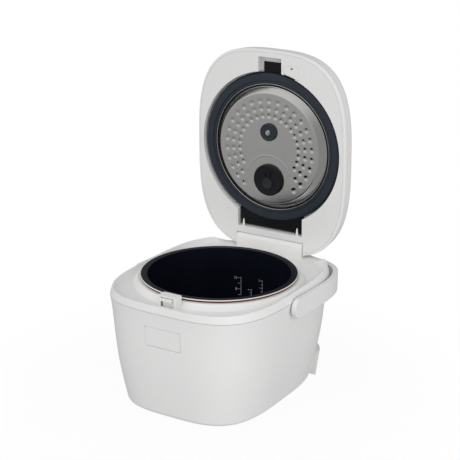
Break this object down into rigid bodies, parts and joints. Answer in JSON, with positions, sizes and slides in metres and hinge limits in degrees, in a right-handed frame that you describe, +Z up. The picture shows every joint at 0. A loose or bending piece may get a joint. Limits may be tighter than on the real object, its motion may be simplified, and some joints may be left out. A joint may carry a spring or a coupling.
{
  "type": "rice cooker",
  "caption": "Table-top electric rice cooker with a rounded-square white body, hinged domed lid, removable nonstick pot and inner lid, front release button and fold-back handle.",
  "frame": {"origin": "on the table, under the axis of the inner pot", "axes": "+Z up along the pot's axis, -Y towards the front with the release button, +Y towards the lid hinge"},
  "size_m": [0.2966, 0.3612, 0.5171],
  "materials": {
    "white_gloss": "glossy white moulded plastic",
    "white_liner": "semi-gloss white moulded plastic",
    "grey_base": "matte grey heat-resistant plastic",
    "foot_rubber": "matte soft rubber, light grey",
    "black_plastic": "satin black moulded plastic",
    "brass_pins": "plain drawn brass",
    "chamber_steel": "pressed sheet steel",
    "plain_steel": "plain drawn steel",
    "cast_aluminium": "cast and turned aluminium",
    "board_green": "coated circuit board",
    "transformer_iron": "lacquered laminated iron",
    "pot_nonstick": "blue-black nonstick coating on pressed aluminium",
    "panel_grey": "pale grey semi-gloss plastic",
    "display_dark": "dark tinted window",
    "gasket_silicone": "dark blue-grey silicone rubber",
    "lid_steel": "brushed stainless steel with pressed dimples",
    "valve_rubber": "black heat-resistant rubber",
    "key_grey": "soft grey keys"
  },
  "bodies": {
    "base": {"outer_shell": "white_gloss", "top_deck": "white_gloss", "base_plate": "grey_base", "feet": "foot_rubber", "rear_housing": "white_gloss", "power_inlet": "black_plastic", "inlet_pins": "brass_pins", "heat_chamber": "chamber_steel", "chamber_screws": "plain_steel", "heating_plate": "cast_aluminium", "band_heater": "chamber_steel", "thermostat_holder": "grey_base", "thermostat_spring": "plain_steel", "power_board": "board_green", "power_transformer": "transformer_iron", "latch_bracket": "chamber_steel", "latch_pin": "plain_steel", "latch_spring": "plain_steel", "lid_springs": "plain_steel"},
    "lid": {"lid_cover": "white_gloss", "lid_liner": "white_liner", "lid_insert": "white_liner", "latch_keeper": "chamber_steel", "inner_lid_pegs": "white_liner", "hinge_pin": "plain_steel", "control_panel": "panel_grey", "control_board": "board_green", "display_window": "display_dark", "vent_well": "white_liner"},
    "inner_lid": {"inner_lid_carrier": "black_plastic", "inner_lid_gasket": "gasket_silicone", "inner_lid_plate": "lid_steel", "sensor_cap": "gasket_silicone", "sensor_pin": "plain_steel", "steam_valve": "valve_rubber"},
    "steam_vent": {"steam_vent_cap": "panel_grey"},
    "key_1": {"panel_key_1": "key_grey"},
    "key_2": {"panel_key_2": "key_grey"},
    "key_3": {"panel_key_3": "key_grey"},
    "key_4": {"panel_key_4": "key_grey"},
    "pot": {"inner_pot": "pot_nonstick"},
    "thermostat": {"thermostat_cap": "cast_aluminium"},
    "button": {"release_button": "white_gloss"},
    "latch": {"latch_lever": "white_gloss"},
    "handle": {"carry_handle": "white_gloss", "handle_pivots": "plain_steel", "handle_washers": "plain_steel"}
  },
  "joints": [
    {"name": "lid_hinge", "type": "hinge", "parent": "base", "child": "lid", "pos_m": [0, 0.16, 0.198], "axis": [-1, 0, 0], "range_deg": [-89.1, 0], "stiffness_Nm_per_rad": 1.2, "springref_deg": 28.65, "deforming": ["lid_springs"]},
    {"name": "inner_lid_rock", "type": "hinge", "parent": "lid", "child": "inner_lid", "pos_m": [0, 0.1623, 0.22374], "axis": [1, 0, 0], "range_deg": [0, 10]},
    {"name": "vent_pull", "type": "slide", "parent": "lid", "child": "steam_vent", "axis": [0, 0.9999, 0.0157], "range_m": [0, 0.03]},
    {"name": "key_1_press", "type": "slide", "parent": "lid", "child": "key_1", "axis": [0, -0.9999, -0.0157], "range_m": [0, 0.0006], "stiffness_N_per_m": 1200},
    {"name": "key_2_press", "type": "slide", "parent": "lid", "child": "key_2", "axis": [0, -0.9999, -0.0157], "range_m": [0, 0.0006], "stiffness_N_per_m": 1200},
    {"name": "key_3_press", "type": "slide", "parent": "lid", "child": "key_3", "axis": [0, -0.9999, -0.0157], "range_m": [0, 0.0006], "stiffness_N_per_m": 1200},
    {"name": "key_4_press", "type": "slide", "parent": "lid", "child": "key_4", "axis": [0, -0.9999, -0.0157], "range_m": [0, 0.0006], "stiffness_N_per_m": 1200},
    {"name": "pot_lift", "type": "slide", "parent": "base", "child": "pot", "axis": [0, 0, 1], "range_m": [0, 0.15]},
    {"name": "thermostat_press", "type": "slide", "parent": "base", "child": "thermostat", "axis": [0, 0, 1], "range_m": [-0.003, 0], "stiffness_N_per_m": 900, "springref_m": 0.004, "deforming": ["thermostat_spring"]},
    {"name": "button_press", "type": "slide", "parent": "base", "child": "button", "axis": [0, 1, 0], "range_m": [0, 0.002], "stiffness_N_per_m": 1200},
    {"name": "latch_swing", "type": "hinge", "parent": "base", "child": "latch", "pos_m": [0, -0.139, 0.112], "axis": [1, 0, 0], "range_deg": [-4.3, 0], "deforming": ["latch_spring"]},
    {"name": "handle_swing", "type": "hinge", "parent": "base", "child": "handle", "pos_m": [0, -0.008, 0.169], "axis": [1, 0, 0], "range_deg": [0, 3]}
  ],
  "couplings": [
    {"joint": "latch_swing", "follows": "button_press", "rad_per_m": -36.63}
  ]
}
